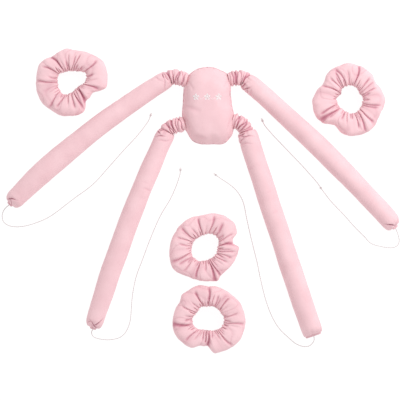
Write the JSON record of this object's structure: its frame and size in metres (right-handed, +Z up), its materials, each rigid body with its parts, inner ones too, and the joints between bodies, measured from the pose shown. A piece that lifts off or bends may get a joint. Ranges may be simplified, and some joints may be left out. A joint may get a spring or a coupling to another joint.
{
  "type": "heatless hair curling set",
  "caption": "Soft heatless hair curling set: a stuffed crown pad with long stuffed curling arms on gathered elastic necks, tie cords, and loose fabric scrunchies.",
  "frame": {"origin": "on the flat underside of the crown pad, at its middle, on the surface the set lies on", "axes": "+X to the right across the spread arms, +Y towards the pad's domed end, away from the arms' far ends, +Z up"},
  "size_m": [0.6404, 0.4829, 0.0448],
  "materials": {
    "pad_fabric": "matte brushed knit, pale pink",
    "arm_fabric": "matte brushed knit, pale pink",
    "gathered_fabric": "the same knit, gathered",
    "scrunchie_fabric": "the same knit, gathered on an elastic ring",
    "seam_fabric": "stitched edge of the same knit",
    "embroidery_thread": "satin stitch in white thread",
    "tie_cord": "thin braided cord, whitish pink",
    "elastic": "white covered elastic",
    "fibre_filling": "white polyester fibre"
  },
  "bodies": {
    "pad": {"pad_top_panel": "pad_fabric", "pad_bottom_panel": "pad_fabric", "pad_seam": "seam_fabric", "pad_filling": "fibre_filling", "pad_embroidery": "embroidery_thread", "left_outer_neck_root": "gathered_fabric", "left_inner_neck_root": "gathered_fabric", "right_inner_neck_root": "gathered_fabric", "right_outer_neck_root": "gathered_fabric"},
    "left_outer_neck": {"left_outer_neck_sleeve": "gathered_fabric", "left_outer_neck_elastic": "elastic"},
    "left_outer_arm": {"left_outer_cover": "arm_fabric", "left_outer_filling": "fibre_filling", "left_outer_end_hem": "seam_fabric", "left_outer_tie_cord": "tie_cord", "left_outer_cord_knot": "tie_cord"},
    "left_inner_neck": {"left_inner_neck_sleeve": "gathered_fabric", "left_inner_neck_elastic": "elastic"},
    "left_inner_arm": {"left_inner_cover": "arm_fabric", "left_inner_filling": "fibre_filling", "left_inner_end_hem": "seam_fabric", "left_inner_tie_cord": "tie_cord", "left_inner_cord_knot": "tie_cord"},
    "right_inner_neck": {"right_inner_neck_sleeve": "gathered_fabric", "right_inner_neck_elastic": "elastic"},
    "right_inner_arm": {"right_inner_cover": "arm_fabric", "right_inner_filling": "fibre_filling", "right_inner_end_hem": "seam_fabric", "right_inner_tie_cord": "tie_cord", "right_inner_cord_knot": "tie_cord"},
    "right_outer_neck": {"right_outer_neck_sleeve": "gathered_fabric", "right_outer_neck_elastic": "elastic"},
    "right_outer_arm": {"right_outer_cover": "arm_fabric", "right_outer_filling": "fibre_filling", "right_outer_end_hem": "seam_fabric", "right_outer_tie_cord": "tie_cord", "right_outer_cord_knot": "tie_cord"},
    "scrunchie_left": {"scrunchie_left_cover": "scrunchie_fabric", "scrunchie_left_elastic": "elastic", "scrunchie_left_join_seam": "scrunchie_fabric"},
    "scrunchie_right": {"scrunchie_right_cover": "scrunchie_fabric", "scrunchie_right_elastic": "elastic", "scrunchie_right_join_seam": "scrunchie_fabric"},
    "scrunchie_middle": {"scrunchie_middle_cover": "scrunchie_fabric", "scrunchie_middle_elastic": "elastic", "scrunchie_middle_join_seam": "scrunchie_fabric"},
    "scrunchie_lower": {"scrunchie_lower_cover": "scrunchie_fabric", "scrunchie_lower_elastic": "elastic", "scrunchie_lower_join_seam": "scrunchie_fabric"}
  },
  "joints": [
    {"name": "left_outer_lift", "type": "hinge", "parent": "pad", "child": "left_outer_neck", "pos_m": [-0.04288, 0.04297, 0.017], "axis": [-0.6205, 0.7842, 0], "range_deg": [-85, 80], "deforming": ["left_outer_neck_sleeve", "left_outer_neck_elastic"]},
    {"name": "left_outer_swing", "type": "hinge", "parent": "left_outer_neck", "child": "left_outer_arm", "pos_m": [-0.06322, 0.04462, 0.01422], "axis": [0, 0, 1], "range_deg": [-4, 9]},
    {"name": "left_inner_lift", "type": "hinge", "parent": "pad", "child": "left_inner_neck", "pos_m": [-0.04683, -0.03115, 0.017], "axis": [-0.9361, 0.3518, 0], "range_deg": [-85, 80], "deforming": ["left_inner_neck_sleeve", "left_inner_neck_elastic"]},
    {"name": "left_inner_swing", "type": "hinge", "parent": "left_inner_neck", "child": "left_inner_arm", "pos_m": [-0.06665, -0.04106, 0.01471], "axis": [0, 0, 1], "range_deg": [-10, 7]},
    {"name": "right_inner_lift", "type": "hinge", "parent": "pad", "child": "right_inner_neck", "pos_m": [0.04683, -0.02615, 0.017], "axis": [-0.9498, -0.3127, 0], "range_deg": [-85, 80], "deforming": ["right_inner_neck_sleeve", "right_inner_neck_elastic"]},
    {"name": "right_inner_swing", "type": "hinge", "parent": "right_inner_neck", "child": "right_inner_arm", "pos_m": [0.06069, -0.04105, 0.01608], "axis": [0, 0, 1], "range_deg": [-5, 10]},
    {"name": "right_outer_lift", "type": "hinge", "parent": "pad", "child": "right_outer_neck", "pos_m": [0.04096, 0.04359, 0.017], "axis": [-0.7011, -0.713, 0], "range_deg": [-85, 80], "deforming": ["right_outer_neck_sleeve", "right_outer_neck_elastic"]},
    {"name": "right_outer_swing", "type": "hinge", "parent": "right_outer_neck", "child": "right_outer_arm", "pos_m": [0.05929, 0.0417, 0.01471], "axis": [0, 0, 1], "range_deg": [-12, 6]},
    {"name": "scrunchie_left_lift_off", "type": "slide", "parent": "pad", "child": "scrunchie_left", "axis": [0, 0, 1], "range_m": [0, 0.12]},
    {"name": "scrunchie_right_lift_off", "type": "slide", "parent": "pad", "child": "scrunchie_right", "axis": [0, 0, 1], "range_m": [0, 0.12]},
    {"name": "scrunchie_middle_lift_off", "type": "slide", "parent": "pad", "child": "scrunchie_middle", "axis": [0, 0, 1], "range_m": [0, 0.12]},
    {"name": "scrunchie_lower_lift_off", "type": "slide", "parent": "pad", "child": "scrunchie_lower", "axis": [0, 0, 1], "range_m": [0, 0.12]}
  ]
}
